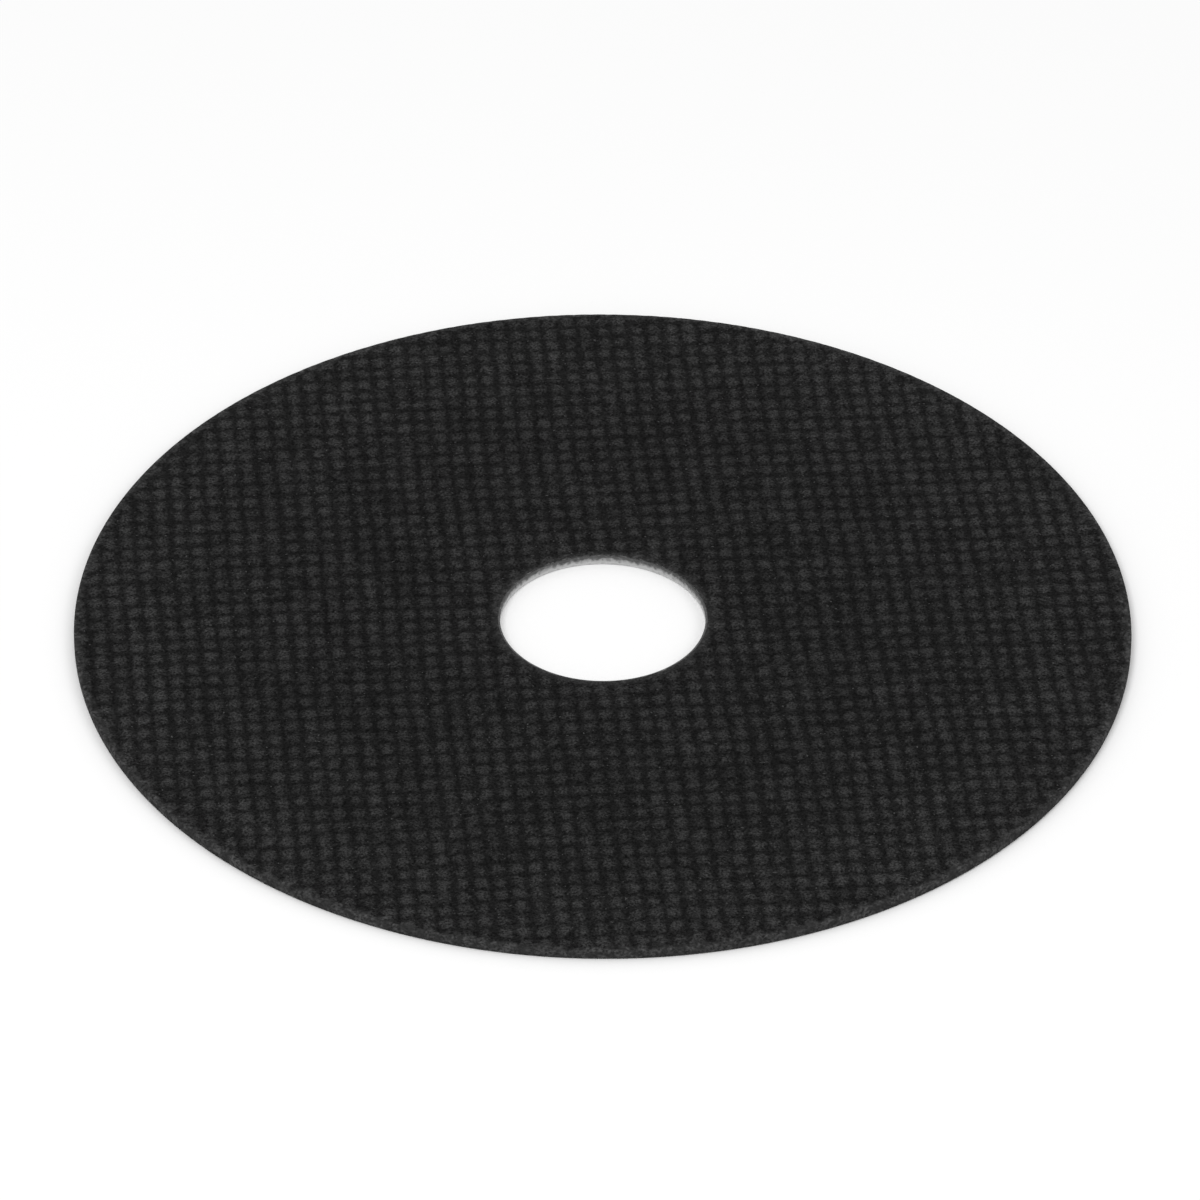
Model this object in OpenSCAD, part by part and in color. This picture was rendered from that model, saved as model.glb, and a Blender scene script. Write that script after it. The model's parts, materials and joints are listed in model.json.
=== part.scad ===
// Cut-off wheel: a thin abrasive disc with the print of its woven glass mesh in both faces, and a
// pressed steel ring that lines the bore. Millimetres. The wheel lies flat: +Z is its axis, z = 0
// is the face it lies on, and the origin is in the middle of the bore.

/* [Wheel] */
// Outside diameter of the wheel, 4-1/2 in
wheel_d = 114.3; // [75:0.1:130]
// Thickness of the wheel over its woven faces
wheel_t = 1.2; // [1:0.1:3.2]
// Break of the rim's edges, on both faces
rim_break = 0.2; // [0.1:0.05:0.3]

/* [Bore ring] */
// Diameter of the bore inside the ring, 7/8 in
bore_d = 22.23; // [9.53:0.01:25.4]
// Thickness of the ring's steel sheet
ring_sheet = 0.25; // [0.15:0.05:0.4]
// Width of the ring's flange, from the collar outward
flange_w = 2.8; // [1:0.1:5]
// Depth of the collar's end below the upper face
collar_set = 0.15; // [0.05:0.05:0.4]

/* [Weave] */
// Distance from one warp strand to the next
warp_pitch = 1.97; // [1.8:0.01:4]
// Turn of the warp strands from the Y axis, in degrees
warp_turn = 5.4; // [-45:0.1:45]
// Distance from one weft strand to the next
weft_pitch = 2.14; // [1.8:0.01:4]
// Turn of the weft strands from the X axis, in degrees
weft_turn = 4.3; // [-45:0.1:45]
// Depth of the print between the pads
weave_depth = 0.12; // [0.05:0.01:0.2]

/* [Hidden] */
$fn = 96;
wheel_r = wheel_d / 2;
collar_r = bore_d / 2 + ring_sheet;
flange_r = collar_r + flange_w;
collar_h = wheel_t - collar_set;
// Overshoot of a cut or a slab past the face that it passes
over = 1;

// Zigzag of one set of strands across the wheel, as points from left to right
function ridge_line(pitch, valley, crest) =
    let (count = ceil(wheel_r / pitch))
    [for (i = [-count : count]) each [[(i - 0.5) * pitch, valley], [i * pitch, crest]]];

function backwards(points) = [for (i = [len(points) - 1 : -1 : 0]) points[i]];

// Slab with the ridges of one set of strands, running along Y, on its upper face, and on its lower
// face too where both_faces is true
module ridged_slab(pitch, both_faces) {
    upper = ridge_line(pitch, wheel_t - weave_depth, wheel_t);
    lower = both_faces
        ? ridge_line(pitch, weave_depth, 0)
        : [[upper[0].x, -over], [upper[len(upper) - 1].x, -over]];
    rotate([90, 0, 0])
        linear_extrude(wheel_d + 2 * over, center = true)
            polygon(concat(upper, backwards(lower)));
}

// Plain disc with a broken rim and the seat of the ring: a bore for its collar and a recess for its
// flange
module disc_blank() {
    difference() {
        rotate_extrude()
            polygon([
                [0, 0],
                [wheel_r - rim_break, 0],
                [wheel_r, rim_break],
                [wheel_r, wheel_t - rim_break],
                [wheel_r - rim_break, wheel_t],
                [0, wheel_t]
            ]);
        translate([0, 0, -over]) cylinder(r = collar_r, h = wheel_t + 2 * over);
        translate([0, 0, -over]) cylinder(r = flange_r, h = ring_sheet + over);
    }
}

// Bonded abrasive, pressed round its glass mesh. Where the warp ridges cross the weft ridges the
// upper face is a grid of raised pads. The underside has the warp ridges alone.
module abrasive_disc() {
    color("dimgray")
        intersection() {
            disc_blank();
            rotate(warp_turn) ridged_slab(warp_pitch, both_faces = true);
            rotate(90 + weft_turn) ridged_slab(weft_pitch, both_faces = false);
        }
}

// Steel ring pressed from sheet: a collar that lines the bore, on a flange flush with the underside
module bore_ring() {
    color("silver")
        difference() {
            union() {
                cylinder(r = collar_r, h = collar_h);
                cylinder(r = flange_r, h = ring_sheet);
            }
            translate([0, 0, -over]) cylinder(d = bore_d, h = collar_h + 2 * over);
        }
}

abrasive_disc();
bore_ring();
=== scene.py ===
"""Looks of a thin cut-off wheel: a woven abrasive disc with a steel ring in its bore, lying on a floor.

Lengths are in metres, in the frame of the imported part: +Z is the wheel's axis, z = 0 the floor, and the
camera stands on the -Y side.
"""

import json
import logging
import math
from dataclasses import dataclass
from enum import Enum
from typing import Callable

import bmesh
import bpy
import numpy as np
from mathutils import Matrix, Vector, noise


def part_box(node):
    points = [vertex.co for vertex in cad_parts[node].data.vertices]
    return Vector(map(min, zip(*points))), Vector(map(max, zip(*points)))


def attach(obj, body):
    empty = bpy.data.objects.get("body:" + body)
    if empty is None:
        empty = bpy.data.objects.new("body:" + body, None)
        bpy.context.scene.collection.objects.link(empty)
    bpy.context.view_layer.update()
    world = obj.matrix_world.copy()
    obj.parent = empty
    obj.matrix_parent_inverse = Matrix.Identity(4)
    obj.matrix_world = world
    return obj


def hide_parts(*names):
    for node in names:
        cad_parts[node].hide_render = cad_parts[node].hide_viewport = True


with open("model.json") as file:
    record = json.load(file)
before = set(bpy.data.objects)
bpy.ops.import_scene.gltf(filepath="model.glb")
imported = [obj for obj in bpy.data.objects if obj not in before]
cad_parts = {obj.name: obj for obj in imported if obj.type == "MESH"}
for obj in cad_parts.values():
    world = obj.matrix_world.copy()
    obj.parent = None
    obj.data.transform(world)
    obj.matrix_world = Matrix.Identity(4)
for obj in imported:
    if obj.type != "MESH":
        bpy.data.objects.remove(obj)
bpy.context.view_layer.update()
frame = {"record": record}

LOG = logging.getLogger("cut_off_wheel")
MM = 0.001
RING_SHEET = 0.25 * MM
# Places closer than this count as one
NEAR = 0.01 * MM
# A level face has a normal with more than this along Z, up or down
LEVEL = 0.5
# A face that closes the bore has its centre closer than this to the wheel's axis
ON_AXIS = 0.1 * MM
# A vertex of the weave closer than this share of a pitch to a strand line lies on it
ON_LINE = 0.01
# Steps in the rounding of an edge
ROUND_STEPS = 4
# Middle of the values of a Noise texture
MID_NOISE = 0.5
# Dull shine of bonded grit, and the share of its bump that shows
GRIT_SPECULAR = 0.06
GRIT_BUMP = 0.8
Colour = tuple[float, float, float, float]
Range = tuple[float, float]
Socket = bpy.types.NodeSocket
FaceTest = Callable[[Vector, Vector], bool]
VertTest = Callable[[Vector], bool]


def grey(value: float) -> Colour:
    """Returns a neutral linear colour."""
    return (value, value, value, 1.0)


class Side(Enum):
    """The two woven faces of the wheel, each with the seed of its own cloth."""

    UPPER = 11
    LOWER = 23


class Element(Enum):
    """What is picked in edit mode, by Blender's names."""

    VERT = "VERT"
    EDGE = "EDGE"
    FACE = "FACE"


class Bench:
    """Plain steps of modelling by hand, each through Blender's own operators."""

    @staticmethod
    def clear() -> None:
        """Leaves edit mode and deselects everything, so that a new primitive is selected alone."""
        if bpy.context.object and bpy.context.object.mode != "OBJECT":
            bpy.ops.object.mode_set(mode="OBJECT")
        bpy.ops.object.select_all(action="DESELECT")

    @staticmethod
    def take(obj: bpy.types.Object) -> None:
        """Leaves edit mode and makes one object the only selected and active one.

        Args:
            obj: The object to work on.
        """
        Bench.clear()
        obj.select_set(True)
        bpy.context.view_layer.objects.active = obj

    @staticmethod
    def enter(obj: bpy.types.Object, element: Element) -> bmesh.types.BMesh:
        """Enters edit mode with nothing selected.

        Args:
            obj: The mesh object.
            element: What will be picked.

        Returns:
            The mesh to pick from.
        """
        Bench.take(obj)
        bpy.ops.object.mode_set(mode="EDIT")
        bpy.ops.mesh.select_mode(type=element.value)
        bpy.ops.mesh.select_all(action="DESELECT")
        return bmesh.from_edit_mesh(obj.data)

    @staticmethod
    def pick_faces(obj: bpy.types.Object, test: FaceTest) -> None:
        """Enters edit mode with the faces selected whose centre and normal pass a test.

        Args:
            obj: The mesh object.
            test: Called with a face's centre and its normal.
        """
        shell = Bench.enter(obj, Element.FACE)
        for face in shell.faces:
            face.select_set(test(face.calc_center_median(), face.normal))
        bmesh.update_edit_mesh(obj.data)

    @staticmethod
    def pick_verts(obj: bpy.types.Object, test: VertTest) -> None:
        """Enters edit mode with the vertices selected whose place passes a test.

        Args:
            obj: The mesh object.
            test: Called with a vertex's place.
        """
        shell = Bench.enter(obj, Element.VERT)
        for vert in shell.verts:
            vert.select_set(test(vert.co))
        shell.select_flush(True)
        bmesh.update_edit_mesh(obj.data)

    @staticmethod
    def plate(steps: int, radius: float, thickness: float) -> bpy.types.Object:
        """Makes a round plate that lies on z = 0.

        Args:
            steps: Number of its sides.
            radius: Radius of the plate.
            thickness: Thickness of the plate.

        Returns:
            The plate, with its place in its mesh.
        """
        Bench.clear()
        bpy.ops.mesh.primitive_cylinder_add(
            vertices=steps, radius=radius, depth=thickness, location=(0.0, 0.0, thickness / 2)
        )
        bpy.ops.object.transform_apply(location=True)
        return bpy.context.object

    @staticmethod
    def inset(width: float) -> None:
        """Draws a circle inside the picked round face, a width in from its edge."""
        bpy.ops.mesh.inset(thickness=width, use_even_offset=False)

    @staticmethod
    def pull(height: float) -> None:
        """Pulls the picked face up by a height, with a wall behind it."""
        bpy.ops.mesh.extrude_region_move(TRANSFORM_OT_translate={"value": (0.0, 0.0, height)})

    @staticmethod
    def open_bore(obj: bpy.types.Object) -> None:
        """Puts the wall of a bore in place of the two level faces on the wheel's axis."""
        Bench.pick_faces(obj, lambda centre, normal: abs(normal.z) > LEVEL and centre.xy.length < ON_AXIS)
        bpy.ops.mesh.bridge_edge_loops()

    @staticmethod
    def round_edge(obj: bpy.types.Object, radius: float, height: float, width: float) -> None:
        """Rounds one circular edge.

        Args:
            obj: The mesh object.
            radius: Radius of the edge about the wheel's axis.
            height: Height of the edge.
            width: Width of the rounding.
        """
        shell = Bench.enter(obj, Element.EDGE)
        for edge in shell.edges:
            edge.select_set(
                all(
                    abs(vert.co.xy.length - radius) < NEAR and abs(vert.co.z - height) < NEAR
                    for vert in edge.verts
                )
            )
        bmesh.update_edit_mesh(obj.data)
        bpy.ops.mesh.bevel(offset=width, segments=ROUND_STEPS, affect="EDGES")

    @staticmethod
    def apply_modifiers(obj: bpy.types.Object) -> None:
        """Applies every modifier of an object, from the first to the last."""
        Bench.take(obj)
        for name in [modifier.name for modifier in obj.modifiers]:
            bpy.ops.object.modifier_apply(modifier=name)

    @staticmethod
    def points(obj: bpy.types.Object) -> np.ndarray:
        """Returns the places of a mesh's vertices, one row each."""
        flat = np.empty(len(obj.data.vertices) * 3)
        obj.data.vertices.foreach_get("co", flat)
        return flat.reshape(-1, 3)

    @staticmethod
    def set_points(obj: bpy.types.Object, places: np.ndarray) -> None:
        """Moves a mesh's vertices.

        Args:
            obj: The mesh object.
            places: One row for each vertex.
        """
        obj.data.vertices.foreach_set("co", places.ravel())
        obj.data.update()


class Nodes:
    """A node tree, with short calls to add and join nodes."""

    def __init__(self, tree: bpy.types.NodeTree) -> None:
        """Takes the tree of a material or of the world."""
        self.tree = tree

    def add(self, kind: str, **settings: object) -> bpy.types.Node:
        """Adds a node.

        Args:
            kind: Blender's name of the node type.
            **settings: Properties of the node.

        Returns:
            The new node.
        """
        node = self.tree.nodes.new(kind)
        for key, value in settings.items():
            setattr(node, key, value)
        return node

    def feed(self, socket: Socket, value: object) -> None:
        """Gives an input a number, a colour or another node's output.

        Args:
            socket: The input.
            value: What goes in.
        """
        if isinstance(value, Socket):
            self.tree.links.new(value, socket)
        else:
            socket.default_value = value

    def sum(self, kind: str, *terms: object) -> Socket:
        """Adds a Math node.

        Args:
            kind: Its operation.
            *terms: Its inputs, in order.

        Returns:
            The result.
        """
        node = self.add("ShaderNodeMath", operation=kind)
        for socket, term in zip(node.inputs, terms):
            self.feed(socket, term)
        return node.outputs[0]

    def span(self, value: object, source: Range, target: Range = (0.0, 1.0), soft: bool = True) -> Socket:
        """Maps a range of values onto another, held at both ends.

        Args:
            value: The value to map.
            source: The range that it is read in.
            target: The results at the two ends of that range.
            soft: True for a smooth step, False for a straight line.

        Returns:
            The mapped value.
        """
        node = self.add("ShaderNodeMapRange", interpolation_type="SMOOTHSTEP" if soft else "LINEAR")
        names = ("Value", "From Min", "From Max", "To Min", "To Max")
        for name, term in zip(names, (value, *source, *target)):
            self.feed(node.inputs[name], term)
        return node.outputs["Result"]

    def stray(self, cloud: Socket, amount: float, base: Socket) -> Socket:
        """Makes a value stray up and down by noise.

        Args:
            cloud: The noise.
            amount: How far it strays, from the least noise to the most.
            base: The value.

        Returns:
            The value that strays.
        """
        return self.sum("MULTIPLY_ADD", self.sum("SUBTRACT", cloud, MID_NOISE), amount, base)

    def cloud(self, place: Socket, grain: float, detail: float = 2.0, rough: float = 0.5) -> Socket:
        """Adds a Noise texture.

        Args:
            place: Where it is read.
            grain: Size of its blotches, in metres.
            detail: Number of finer layers.
            rough: Weight of the finer layers.

        Returns:
            A value that wanders about a half.
        """
        node = self.add("ShaderNodeTexNoise")
        self.feed(node.inputs["Vector"], place)
        self.feed(node.inputs["Scale"], 1.0 / grain)
        self.feed(node.inputs["Detail"], detail)
        self.feed(node.inputs["Roughness"], rough)
        return node.outputs["Fac"]

    def blend(self, share: object, first: object, second: object, kind: str = "MIX") -> Socket:
        """Mixes two colours.

        Args:
            share: Share of the second colour.
            first: First colour.
            second: Second colour.
            kind: Way of mixing.

        Returns:
            The mixed colour.
        """
        node = self.add("ShaderNodeMix", data_type="RGBA", blend_type=kind)
        sockets = {socket.identifier: socket for socket in node.inputs}
        self.feed(sockets["Factor_Float"], share)
        self.feed(sockets["A_Color"], first)
        self.feed(sockets["B_Color"], second)
        return next(socket for socket in node.outputs if socket.identifier == "Result_Color")

    def seen(self) -> Socket:
        """Returns 1 for what the camera sees, also in metal and through glass, and 0 for bounced light."""
        ray = self.add("ShaderNodeLightPath")
        seen = ray.outputs["Is Camera Ray"]
        for name in ("Is Glossy Ray", "Is Transmission Ray"):
            seen = self.sum("MAXIMUM", seen, ray.outputs[name])
        return seen


class Shader(Nodes):
    """A material's nodes, round its Principled shader."""

    def __init__(self, name: str) -> None:
        """Starts a material.

        Args:
            name: Name of the material.
        """
        self.material = bpy.data.materials.new(name)
        self.material.use_nodes = True
        super().__init__(self.material.node_tree)
        self.surface = self.tree.nodes["Principled BSDF"]

    def give(self, name: str, value: object) -> None:
        """Gives one of the Principled shader's inputs a number, a colour or another node's output."""
        self.feed(self.surface.inputs[name], value)

    def place(self) -> Socket:
        """Returns the point of the surface in the part's own frame."""
        return self.add("ShaderNodeTexCoord").outputs["Object"]

    def height(self, place: Socket) -> Socket:
        """Returns the height of a point above the floor."""
        axes = self.add("ShaderNodeSeparateXYZ")
        self.feed(axes.inputs[0], place)
        return axes.outputs["Z"]

    def bump(self, height: Socket, depth: float, strength: float) -> None:
        """Gives the surface a fine bump.

        Args:
            height: Value from 0 to 1.
            depth: Height of the bump, in metres.
            strength: Share of the bump that shows.
        """
        node = self.add("ShaderNodeBump")
        self.feed(node.inputs["Height"], height)
        self.feed(node.inputs["Distance"], depth)
        self.feed(node.inputs["Strength"], strength)
        self.give("Normal", node.outputs["Normal"])


@dataclass(frozen=True)
class BareGrit:
    """Abrasive grain in dark resin, where the wheel was cut, and in the paler borders of its faces: paler
    than the print.
    """

    name: str = "moulded_edge"
    tone: float = 0.043
    grit_grain: float = 0.34 * MM
    grit_range: Range = (0.34, 0.66)
    grit_shades: Range = (0.35, 1.9)
    blotch_grain: float = 1.0 * MM
    blotch_range: Range = (0.38, 0.62)
    blotch_share: float = 0.75
    blotch_shade: float = 0.5
    roughness: float = 0.85
    bump_depth: float = 0.07 * MM

    def colour(self, shader: Shader, place: Socket) -> Socket:
        """Paints the grain.

        Args:
            shader: The material's nodes.
            place: The point of the surface.

        Returns:
            A speckled and blotched grey.
        """
        grit = shader.span(shader.cloud(place, self.grit_grain, detail=3.0, rough=0.7), self.grit_range)
        dark, pale = (grey(shade * self.tone) for shade in self.grit_shades)
        speckled = shader.blend(grit, dark, pale)
        blotch = shader.cloud(place, self.blotch_grain)
        share = shader.span(blotch, self.blotch_range, (0.0, self.blotch_share))
        return shader.blend(share, speckled, grey(self.blotch_shade * self.tone))

    def material(self) -> bpy.types.Material:
        """Returns the material of a wall, such as the rim's."""
        shader = Shader(self.name)
        place = shader.place()
        shader.give("Base Color", self.colour(shader, place))
        shader.give("Roughness", self.roughness)
        shader.give("Specular IOR Level", GRIT_SPECULAR)
        shader.bump(shader.cloud(place, self.grit_grain), self.bump_depth, GRIT_BUMP)
        return shader.material


@dataclass(frozen=True)
class WovenFace:
    """Finish of the wheel's faces: charcoal pads between the darker lines of the mesh, whose darkness is
    partly their own tone and partly painted shade in the grooves.

    A range is one of noise or of a share, and the shades are what a tone is multiplied by at its two ends.
    """

    wheel_r: float
    wheel_t: float
    depth: float
    bore_r: float
    edge: BareGrit = BareGrit()
    # Tone of the lines: their own darker tone and painted shade in the grooves
    shaded_line_tone: float = 0.0064
    pad_tone: float = 0.0260
    pad_range: Range = (0.0, 1.1)
    fray_grain: float = 0.42 * MM
    fray_share: float = 1.5
    clump_grain: float = 1.3 * MM
    clump_share: float = 1.1
    patch_grain: float = 3.6 * MM
    patch_range: Range = (0.3, 0.7)
    patch_shades: Range = (0.8, 1.2)
    grit_grain: float = 0.24 * MM
    grit_range: Range = (0.32, 0.68)
    grit_shades: Range = (0.15, 1.85)
    glint_grain: float = 0.30 * MM
    glint_range: Range = (0.78, 0.86)
    glint_tone: float = 0.060
    outward_from: float = 0.55
    outward_shades: Range = (1.0, 1.24)
    inward_from: float = 2.0
    inward_shades: Range = (1.0, 1.12)
    border_waver: float = 1.56 * MM
    rim_border_width: float = 1.04 * MM
    lip_border_width: float = 0.936 * MM
    lip_share: float = 0.7
    rough_range: Range = (0.3, 0.7)
    roughness: Range = (0.95, 0.8)
    bump_depth: float = 0.05 * MM

    def material(self) -> bpy.types.Material:
        """Returns the material, painted by the height of the print and by grit; the low lines are darker
        partly by their own tone and partly by painted shade in the grooves.
        """
        shader = Shader("woven_abrasive")
        place = shader.place()
        fray = shader.cloud(place, self.fray_grain, detail=3.0, rough=0.6)
        clump = shader.cloud(place, self.clump_grain)
        grit = shader.cloud(place, self.grit_grain, rough=0.6)
        radius = self.radius(shader, place)
        pads = self.pad_share(shader, place, fray, clump)
        # Lines darker than pads: partly the mesh's own tone, partly painted shade in the grooves
        plain = shader.blend(pads, grey(self.shaded_line_tone), grey(self.pad_tone))
        speckled = self.speckle(shader, place, grit, radius, plain)
        glint = shader.span(shader.cloud(place, self.glint_grain, detail=0.0), self.glint_range)
        printed = shader.blend(glint, speckled, grey(self.glint_tone))
        # Paler ragged borders along the rim and the bore, in the colour of bare grit
        pale_border = self.pale_border_share(shader, radius, fray, clump)
        shader.give("Base Color", shader.blend(pale_border, printed, self.edge.colour(shader, place)))
        shader.give("Roughness", shader.span(fray, self.rough_range, self.roughness, soft=False))
        shader.give("Specular IOR Level", GRIT_SPECULAR)
        shader.bump(grit, self.bump_depth, GRIT_BUMP)
        return shader.material

    def radius(self, shader: Shader, place: Socket) -> Socket:
        """Measures the distance from the wheel's axis.

        Args:
            shader: The material's nodes.
            place: The point of the surface.

        Returns:
            The radius, in metres.
        """
        flat = shader.add("ShaderNodeVectorMath", operation="MULTIPLY")
        shader.feed(flat.inputs[0], place)
        shader.feed(flat.inputs[1], (1.0, 1.0, 0.0))
        length = shader.add("ShaderNodeVectorMath", operation="LENGTH")
        shader.feed(length.inputs[0], flat.outputs[0])
        return length.outputs["Value"]

    def speckle(
        self, shader: Shader, place: Socket, grit: Socket, radius: Socket, colour: Socket
    ) -> Socket:
        """Lightens and darkens a colour by grains and by wide patches, and makes it paler towards the rim
        and the bore.

        Args:
            shader: The material's nodes.
            place: The point of the surface.
            grit: Noise of the grain.
            radius: The distance from the wheel's axis.
            colour: The colour.

        Returns:
            The speckled colour.
        """
        cloud = shader.cloud(place, self.patch_grain)
        patch = shader.span(cloud, self.patch_range, self.patch_shades, soft=False)
        grain = shader.span(grit, self.grit_range, self.grit_shades, soft=False)
        # Paler towards the rim and the bore
        outward = shader.span(radius, (self.outward_from * self.wheel_r, self.wheel_r), self.outward_shades)
        inward = shader.span(radius, (self.inward_from * self.bore_r, self.bore_r), self.inward_shades)
        paler_near_edges = shader.sum("MULTIPLY", outward, inward)
        tone = shader.sum("MULTIPLY", paler_near_edges, shader.sum("MULTIPLY", patch, grain))
        shade = shader.add("ShaderNodeCombineColor")
        for socket in shade.inputs:
            shader.feed(socket, tone)
        return shader.blend(1.0, colour, shade.outputs["Color"], kind="MULTIPLY")

    def pad_share(self, shader: Shader, place: Socket, fray: Socket, clump: Socket) -> Socket:
        """Tells the pads from the lines by the height of the print, with a ragged edge; the low lines get a
        tone that is partly painted groove shade.

        Args:
            shader: The material's nodes.
            place: The point of the surface.
            fray: Fine noise that frays the pads.
            clump: Coarser noise that gives each pad its own shape.

        Returns:
            1 on a pad and 0 in a line.
        """
        middle = self.wheel_t / 2
        from_middle = shader.sum("ABSOLUTE", shader.sum("SUBTRACT", shader.height(place), middle))
        height = shader.span(from_middle, (middle - self.depth, middle), soft=False)
        frayed = shader.stray(fray, self.fray_share, height)
        ragged = shader.stray(clump, self.clump_share, frayed)
        return shader.span(ragged, self.pad_range)

    def pale_border_share(self, shader: Shader, radius: Socket, fray: Socket, clump: Socket) -> Socket:
        """Tells the paler borders along the rim and the bore, which have a ragged edge.

        Args:
            shader: The material's nodes.
            radius: The distance from the wheel's axis.
            fray: Fine noise.
            clump: Coarser noise.

        Returns:
            1 on the paler border and 0 on the print.
        """
        waver = shader.stray(fray, self.border_waver, shader.stray(clump, self.border_waver, radius))
        rim = shader.span(waver, (self.wheel_r - self.rim_border_width, self.wheel_r))
        lip = shader.span(waver, (self.bore_r + self.lip_border_width, self.bore_r), (0.0, self.lip_share))
        return shader.sum("MAXIMUM", rim, lip)


@dataclass(frozen=True)
class PressedSteel:
    """Finish of the ring: dull pressed sheet, with grit smeared over the collar from its upper edge.

    The metallic share and the roughness are those of bare and of smeared steel.
    """

    collar_h: float
    tone: float = 0.55
    streak_grain: float = 0.5 * MM
    streak_range: Range = (0.3, 0.7)
    streak_shades: Range = (0.85, 1.1)
    smear_tone: float = 0.08
    smear_depth: float = 0.80 * MM
    smear_waver: float = 1.28 * MM
    metallic: Range = (1.0, 0.4)
    roughness: Range = (0.36, 0.7)
    pit_grain: float = 0.2 * MM
    pit_depth: float = 0.01 * MM
    pit_share: float = 0.5

    def material(self) -> bpy.types.Material:
        """Returns the material, with faint streaks and a ragged smear."""
        shader = Shader("pressed_steel")
        place = shader.place()
        streak = shader.cloud(place, self.streak_grain, detail=3.0)
        dark, pale = (grey(shade * self.tone) for shade in self.streak_shades)
        bare = shader.blend(shader.span(streak, self.streak_range), dark, pale)
        ragged = shader.stray(streak, self.smear_waver, shader.height(place))
        smear = shader.span(ragged, (self.collar_h - self.smear_depth, self.collar_h))
        shader.give("Base Color", shader.blend(smear, bare, grey(self.smear_tone)))
        shader.give("Metallic", shader.span(smear, (0.0, 1.0), self.metallic, soft=False))
        shader.give("Roughness", shader.span(smear, (0.0, 1.0), self.roughness, soft=False))
        shader.bump(shader.cloud(place, self.pit_grain), self.pit_depth, self.pit_share)
        return shader.material


@dataclass(frozen=True)
class Weave:
    """The mesh of glass strands that prints through the wheel's faces."""

    warp_pitch: float = 1.97 * MM
    warp_turn: float = math.radians(5.4)
    warp_shift: float = 0.82 * MM
    weft_pitch: float = 2.14 * MM
    weft_turn: float = math.radians(4.3)
    warp_depth: float = 0.12 * MM
    weft_depth: float = 0.10 * MM
    shoulder_x: float = 0.48 * MM
    shoulder_y: float = 0.62 * MM
    shoulder_drop: float = 0.02 * MM
    corner_drop: float = 0.06 * MM
    pad_sag: float = 0.03 * MM
    wander: float = 0.40 * MM
    wander_length: float = 24.0 * MM
    wander_layers: Range = (0.3, 5.7)
    strand_slip: float = 0.05 * MM

    def lattice(self) -> Matrix:
        """Returns the turn and skew that lays straight strands along the photographed ones."""
        skew = math.cos(self.warp_turn - self.weft_turn)
        return Matrix(
            (
                (math.cos(self.weft_turn) / skew, -math.sin(self.warp_turn) / skew, 0.0, 0.0),
                (math.sin(self.weft_turn) / skew, math.cos(self.warp_turn) / skew, 0.0, 0.0),
                (0.0, 0.0, 1.0, 0.0),
                (0.0, 0.0, 0.0, 1.0),
            )
        )


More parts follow.
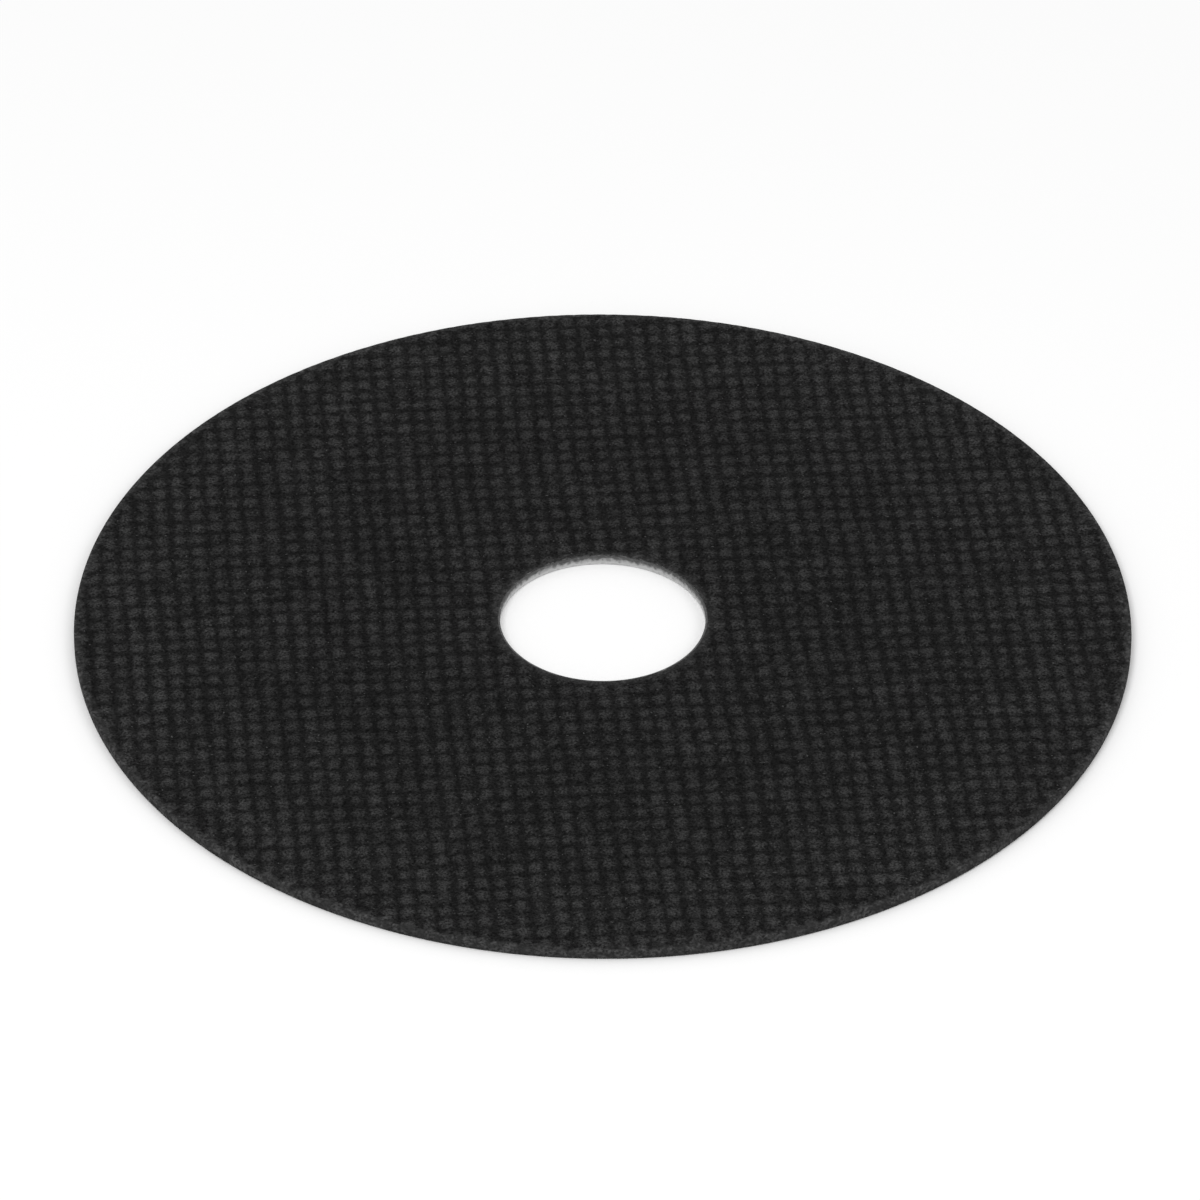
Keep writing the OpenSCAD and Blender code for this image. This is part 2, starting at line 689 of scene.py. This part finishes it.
@dataclass
class AbrasiveDisc:
    """The bonded abrasive, with its woven faces, its rim and the seat of the ring."""

    wheel_r: float
    wheel_t: float
    seat_r: float
    recess_r: float
    recess_h: float
    weave: Weave
    rim_round: float = 0.25 * MM
    lip_round: float = 0.06 * MM
    weld: float = 0.02 * MM
    rim_steps: int = 720
    cloth_reach: float = 1.06
    smooth_angle: float = math.radians(50.0)

    def pad(self) -> bpy.types.Object:
        """Models one pad between four strand lines, with its crown at z = 0.

        Returns:
            A sheet of four by four faces, one pitch wide each way.
        """
        weave = self.weave
        half_x = weave.warp_pitch / 2
        half_y = weave.weft_pitch / 2
        Bench.clear()
        bpy.ops.mesh.primitive_plane_add(size=1.0)
        pad = bpy.context.object
        bpy.ops.object.mode_set(mode="EDIT")
        bpy.ops.transform.resize(value=(weave.warp_pitch, weave.weft_pitch, 1.0))
        bpy.ops.mesh.subdivide(number_cuts=3)
        Bench.pick_verts(pad, lambda co: abs(abs(co.x) - half_x / 2) < NEAR)
        bpy.ops.transform.resize(value=(weave.shoulder_x / (half_x / 2), 1.0, 1.0))
        Bench.pick_verts(pad, lambda co: abs(abs(co.y) - half_y / 2) < NEAR)
        bpy.ops.transform.resize(value=(1.0, weave.shoulder_y / (half_y / 2), 1.0))
        for drop, test in (
            (weave.warp_depth, lambda co: abs(co.x) > half_x - NEAR),
            (weave.weft_depth, lambda co: abs(co.y) > half_y - NEAR and abs(co.x) < half_x - NEAR),
            (
                weave.corner_drop,
                lambda co: NEAR < abs(co.x) < half_x - NEAR and NEAR < abs(co.y) < half_y - NEAR,
            ),
            (weave.shoulder_drop, lambda co: NEAR < abs(co.x) < half_x - NEAR and abs(co.y) < NEAR),
            (weave.shoulder_drop, lambda co: NEAR < abs(co.y) < half_y - NEAR and abs(co.x) < NEAR),
        ):
            Bench.pick_verts(pad, test)
            bpy.ops.transform.translate(value=(0.0, 0.0, -drop))
        bpy.ops.object.mode_set(mode="OBJECT")
        return pad

    def cloth(self, side: Side) -> bpy.types.Object:
        """Copies the pad in rows and columns and lets the strands wander.

        Args:
            side: The face of the wheel; each has its own wander.

        Returns:
            A sheet wider than the wheel, with its crowns at z = 0 or a little under.
        """
        weave = self.weave
        reach = self.cloth_reach * self.wheel_r
        columns = 2 * math.ceil(reach / weave.warp_pitch) + 1
        rows = 2 * math.ceil(reach / weave.weft_pitch) + 1
        sheet = self.pad()
        for count, step in ((columns, (weave.warp_pitch, 0.0, 0.0)), (rows, (0.0, weave.weft_pitch, 0.0))):
            copies = sheet.modifiers.new("copies", "ARRAY")
            copies.count = count
            copies.use_relative_offset = False
            copies.use_constant_offset = True
            copies.constant_offset_displace = step
            copies.use_merge_vertices = True
            copies.merge_threshold = NEAR
        Bench.apply_modifiers(sheet)
        places = Bench.points(sheet)
        places[:, 0] -= (columns - 1) / 2 * weave.warp_pitch
        places[:, 1] -= (rows - 1) / 2 * weave.weft_pitch
        self.unsettle(places, side, columns, rows)
        Bench.set_points(sheet, places)
        sheet.data.transform(weave.lattice() @ Matrix.Translation((weave.warp_shift, 0.0, 0.0)))
        return sheet

    def unsettle(self, places: np.ndarray, side: Side, columns: int, rows: int) -> None:
        """Moves the pads and strands a little out of true, in place.

        Args:
            places: The sheet's vertices, still on a square lattice.
            side: The face of the wheel.
            columns: Number of pads across.
            rows: Number of pads deep.
        """
        weave = self.weave
        chance = np.random.default_rng(side.value)
        sag = chance.random((columns, rows)) * weave.pad_sag
        slip_x = chance.uniform(-1.0, 1.0, columns + 1) * weave.strand_slip
        slip_y = chance.uniform(-1.0, 1.0, rows + 1) * weave.strand_slip
        column = places[:, 0] / weave.warp_pitch + columns / 2
        row = places[:, 1] / weave.weft_pitch + rows / 2
        inside = (np.abs(column - np.round(column)) > ON_LINE) & (np.abs(row - np.round(row)) > ON_LINE)
        cell_x = np.clip(np.floor(column).astype(int), 0, columns - 1)
        cell_y = np.clip(np.floor(row).astype(int), 0, rows - 1)
        places[inside, 2] -= sag[cell_x[inside], cell_y[inside]]
        spots = places[:, :2] / weave.wander_length
        layers = [side.value + layer for layer in weave.wander_layers]
        drift = np.array([[noise.noise((x, y, layer)) for layer in layers] for x, y in spots])
        places[:, 0] += np.interp(column, np.arange(columns + 1), slip_x) + drift[:, 0] * weave.wander
        places[:, 1] += np.interp(row, np.arange(rows + 1), slip_y) + drift[:, 1] * weave.wander

    def woven_slab(self) -> bpy.types.Object:
        """Joins the two cloths back to back into a closed slab of the wheel's thickness.

        Returns:
            A slab wider than the wheel.
        """
        upper = self.cloth(Side.UPPER)
        upper.data.transform(Matrix.Translation((0.0, 0.0, self.wheel_t)))
        lower = self.cloth(Side.LOWER)
        lower.data.transform(Matrix.Scale(-1.0, 4, (0.0, 0.0, 1.0)))
        Bench.take(lower)
        bpy.ops.object.mode_set(mode="EDIT")
        bpy.ops.mesh.select_all(action="SELECT")
        bpy.ops.mesh.flip_normals()
        bpy.ops.object.mode_set(mode="OBJECT")
        Bench.take(upper)
        lower.select_set(True)
        bpy.ops.object.join()
        bpy.ops.object.mode_set(mode="EDIT")
        bpy.ops.mesh.select_mode(type="EDGE")
        bpy.ops.mesh.select_all(action="DESELECT")
        bpy.ops.mesh.select_non_manifold()
        bpy.ops.mesh.bridge_edge_loops()
        bpy.ops.mesh.select_all(action="SELECT")
        bpy.ops.mesh.normals_make_consistent(inside=False)
        bpy.ops.object.mode_set(mode="OBJECT")
        return upper

    def blank(self) -> bpy.types.Object:
        """Models the plain disc: rounded rim, bore for the collar, recess for the flange.

        Returns:
            A closed solid that trims the woven slab.
        """
        blank = Bench.plate(self.rim_steps, self.wheel_r, self.wheel_t)
        Bench.pick_faces(blank, lambda centre, normal: normal.z < -LEVEL)
        Bench.inset(self.wheel_r - self.recess_r)
        Bench.pull(self.recess_h)
        Bench.inset(self.recess_r - self.seat_r)
        Bench.pick_faces(blank, lambda centre, normal: normal.z > LEVEL)
        Bench.inset(self.wheel_r - self.seat_r)
        Bench.open_bore(blank)
        for radius, height, width in (
            (self.wheel_r, self.wheel_t, self.rim_round),
            (self.wheel_r, 0.0, self.rim_round),
            (self.seat_r, self.wheel_t, self.lip_round),
        ):
            Bench.round_edge(blank, radius, height, width)
        bpy.ops.object.mode_set(mode="OBJECT")
        return blank

    def build(self) -> bpy.types.Object:
        """Trims the woven slab to the blank and dresses it.

        Returns:
            The finished disc.
        """
        disc = self.woven_slab()
        disc.name = "woven_disc"
        blank = self.blank()
        trim = disc.modifiers.new("trim", "BOOLEAN")
        trim.operation = "INTERSECT"
        trim.solver = "MANIFOLD"
        trim.object = blank
        Bench.apply_modifiers(disc)
        bpy.data.objects.remove(blank)
        bpy.ops.object.mode_set(mode="EDIT")
        bpy.ops.mesh.select_all(action="SELECT")
        bpy.ops.mesh.remove_doubles(threshold=self.weld)
        bpy.ops.mesh.dissolve_degenerate(threshold=self.weld)
        bpy.ops.mesh.quads_convert_to_tris(quad_method="BEAUTY", ngon_method="BEAUTY")
        Bench.take(disc)
        bpy.ops.object.shade_smooth_by_angle(angle=self.smooth_angle)
        self.dress(disc)
        return disc

    def dress(self, disc: bpy.types.Object) -> None:
        """Gives the faces, the rim and the bore their finishes.

        Args:
            disc: The trimmed disc.
        """
        finishes = (
            WovenFace(self.wheel_r, self.wheel_t, self.weave.warp_depth, self.seat_r),
            BareGrit(),
            BareGrit("cut_strand_ends", tone=0.12, blotch_grain=0.6 * MM),
        )
        woven, rim, bore = range(len(finishes))
        disc.data.materials.clear()
        for finish in finishes:
            disc.data.materials.append(finish.material())
        for face in disc.data.polygons:
            if abs(face.normal.z) > LEVEL:
                face.material_index = woven
            else:
                face.material_index = rim if face.center.xy.length > self.recess_r else bore


@dataclass
class BoreRing:
    """The pressed steel ring: a collar in the bore on a flange under the wheel."""

    bore_r: float
    collar_r: float
    collar_h: float
    flange_r: float
    sheet: float
    steps: int = 256
    edge_round: float = 0.05 * MM
    bend_round: float = 0.18 * MM
    smooth_angle: float = math.radians(40.0)

    def build(self) -> bpy.types.Object:
        """Models the ring from a flat blank.

        Returns:
            The finished ring.
        """
        ring = Bench.plate(self.steps, self.flange_r, self.sheet)
        ring.name = "pressed_ring"
        Bench.pick_faces(ring, lambda centre, normal: normal.z > LEVEL)
        Bench.inset(self.flange_r - self.collar_r)
        Bench.pull(self.collar_h - self.sheet)
        Bench.inset(self.collar_r - self.bore_r)
        Bench.pick_faces(ring, lambda centre, normal: normal.z < -LEVEL)
        Bench.inset(self.flange_r - self.bore_r)
        Bench.open_bore(ring)
        for radius, height, width in (
            (self.bore_r, 0.0, self.bend_round),
            (self.bore_r, self.collar_h, self.edge_round),
            (self.collar_r, self.collar_h, self.edge_round),
            (self.flange_r, 0.0, self.edge_round),
        ):
            Bench.round_edge(ring, radius, height, width)
        Bench.take(ring)
        bpy.ops.object.shade_smooth_by_angle(angle=self.smooth_angle)
        ring.data.materials.clear()
        ring.data.materials.append(PressedSteel(self.collar_h).material())
        return ring


@dataclass(frozen=True)
class View:
    """The photograph's camera, fitted to the outlines of the rim and the bore.

    The image, the focal length and the wheel's centre are in the photograph's pixels, the sensor in
    millimetres.
    """

    image: float = 1200.0
    focal: float = 9072.0
    distance_in_radii: float = 17.17
    elevation: float = math.radians(36.99)
    roll: float = 0.0049
    centre_u: float = 602.84
    centre_v: float = 617.17
    sensor: float = 36.0
    clip_start: float = 10.0 * MM

    def stand(self, wheel_r: float, wheel_t: float) -> None:
        """Sets up the scene's camera.

        Args:
            wheel_r: Radius of the wheel.
            wheel_t: Height of its upper face.
        """
        centre = Vector((0.0, 0.0, wheel_t))
        back = Vector((0.0, -math.cos(self.elevation), math.sin(self.elevation)))
        up = Vector((0.0, math.sin(self.elevation), math.cos(self.elevation)))
        right = Vector((1.0, 0.0, 0.0))
        distance = self.distance_in_radii * wheel_r
        pixel = distance / self.focal
        middle = self.image / 2
        aim = centre - right * (self.centre_u - middle) * pixel + up * (self.centre_v - middle) * pixel
        place = centre + back * distance
        Bench.clear()
        bpy.ops.object.camera_add(location=place)
        camera = bpy.context.object
        camera.data.sensor_width = self.sensor
        camera.data.lens = self.sensor * self.focal / self.image
        camera.data.clip_start = self.clip_start
        turn = (aim - place).to_track_quat("-Z", "Y").to_matrix().to_4x4()
        camera.matrix_world = Matrix.Translation(place) @ turn @ Matrix.Rotation(self.roll, 4, "Z")
        bpy.context.scene.camera = camera


@dataclass(frozen=True)
class Lamp:
    """A soft panel that looks at the wheel."""

    name: str
    azimuth: float
    elevation: float
    distance: float
    size: float
    power: float

    def hang(self) -> None:
        """Adds the lamp to the scene."""
        place = self.distance * Vector(
            (
                math.cos(self.elevation) * math.sin(self.azimuth),
                -math.cos(self.elevation) * math.cos(self.azimuth),
                math.sin(self.elevation),
            )
        )
        Bench.clear()
        bpy.ops.object.light_add(type="AREA", location=place)
        lamp = bpy.context.object
        lamp.name = self.name
        lamp.data.shape = "DISK"
        lamp.data.size = self.size
        lamp.data.energy = self.power
        lamp.rotation_euler = (-place).to_track_quat("-Z", "Y").to_euler()


@dataclass(frozen=True)
class Studio:
    """A pale floor under soft light from all round."""

    floor_size: float = 6.0
    floor_tone: float = 0.80
    seen_tone: float = 1.0
    sky: float = 0.74
    lamps: tuple[Lamp, ...] = (
        Lamp(
            "key_panel",
            azimuth=math.radians(-35.0),
            elevation=math.radians(52.0),
            distance=1.1,
            size=0.5,
            power=3.2,
        ),
        Lamp(
            "fill_panel",
            azimuth=math.radians(60.0),
            elevation=math.radians(40.0),
            distance=1.2,
            size=0.6,
            power=1.6,
        ),
    )

    def build(self) -> None:
        """Lays the floor and lights the scene."""
        bpy.context.scene.view_settings.view_transform = "Standard"
        Bench.clear()
        bpy.ops.mesh.primitive_plane_add(size=self.floor_size)
        floor = bpy.context.object
        floor.name = "floor"
        floor.data.materials.append(self.floor_material())
        for lamp in self.lamps:
            lamp.hang()
        self.light_world()

    def floor_material(self) -> bpy.types.Material:
        """Returns a matt floor, white to the camera and a little greyer to its own bounced light."""
        shader = Shader("studio_floor")
        shader.give("Base Color", shader.blend(shader.seen(), grey(self.floor_tone), grey(self.seen_tone)))
        shader.give("Roughness", 1.0)
        shader.give("Specular IOR Level", 0.0)
        return shader.material

    def light_world(self) -> None:
        """Lights the scene from all round, with a white backdrop."""
        scene = bpy.context.scene
        scene.world = scene.world or bpy.data.worlds.new("studio")
        scene.world.use_nodes = True
        nodes = Nodes(scene.world.node_tree)
        back = nodes.tree.nodes["Background"]
        strength = nodes.span(nodes.seen(), (0.0, 1.0), (self.sky, self.seen_tone), soft=False)
        nodes.feed(back.inputs["Color"], grey(1.0))
        nodes.feed(back.inputs["Strength"], strength)


def main() -> None:
    """Builds the wheel, its stage and its camera, and reports each piece."""
    logging.basicConfig(level=logging.INFO, format="%(message)s")
    disc_low, disc_high = (Vector(corner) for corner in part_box("abrasive_disc"))
    ring_low, ring_high = (Vector(corner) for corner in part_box("bore_ring"))
    bore = next(mount for mount in frame["record"]["mounts"] if mount["name"] == "bore")
    bore_r = bore["dims"]["r_mm"] * MM
    collar_r = bore_r + RING_SHEET
    wheel_r = (disc_high.x - disc_low.x) / 2
    flange_r = (ring_high.x - ring_low.x) / 2
    disc = AbrasiveDisc(
        wheel_r=wheel_r,
        wheel_t=disc_high.z,
        seat_r=collar_r,
        recess_r=flange_r,
        recess_h=RING_SHEET,
        weave=Weave(),
    ).build()
    ring = BoreRing(
        bore_r=bore_r, collar_r=collar_r, collar_h=ring_high.z, flange_r=flange_r, sheet=RING_SHEET
    ).build()
    for piece, node, slot in ((disc, "abrasive_disc", "abrasive"), (ring, "bore_ring", "steel")):
        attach(piece, "root")
        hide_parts(node)
        piece.data.calc_loop_triangles()
        LOG.info("%s: %d triangles", piece.name, len(piece.data.loop_triangles))
    Studio().build()
    View().stand(wheel_r, disc_high.z)


if __name__ == "__main__":
    main()
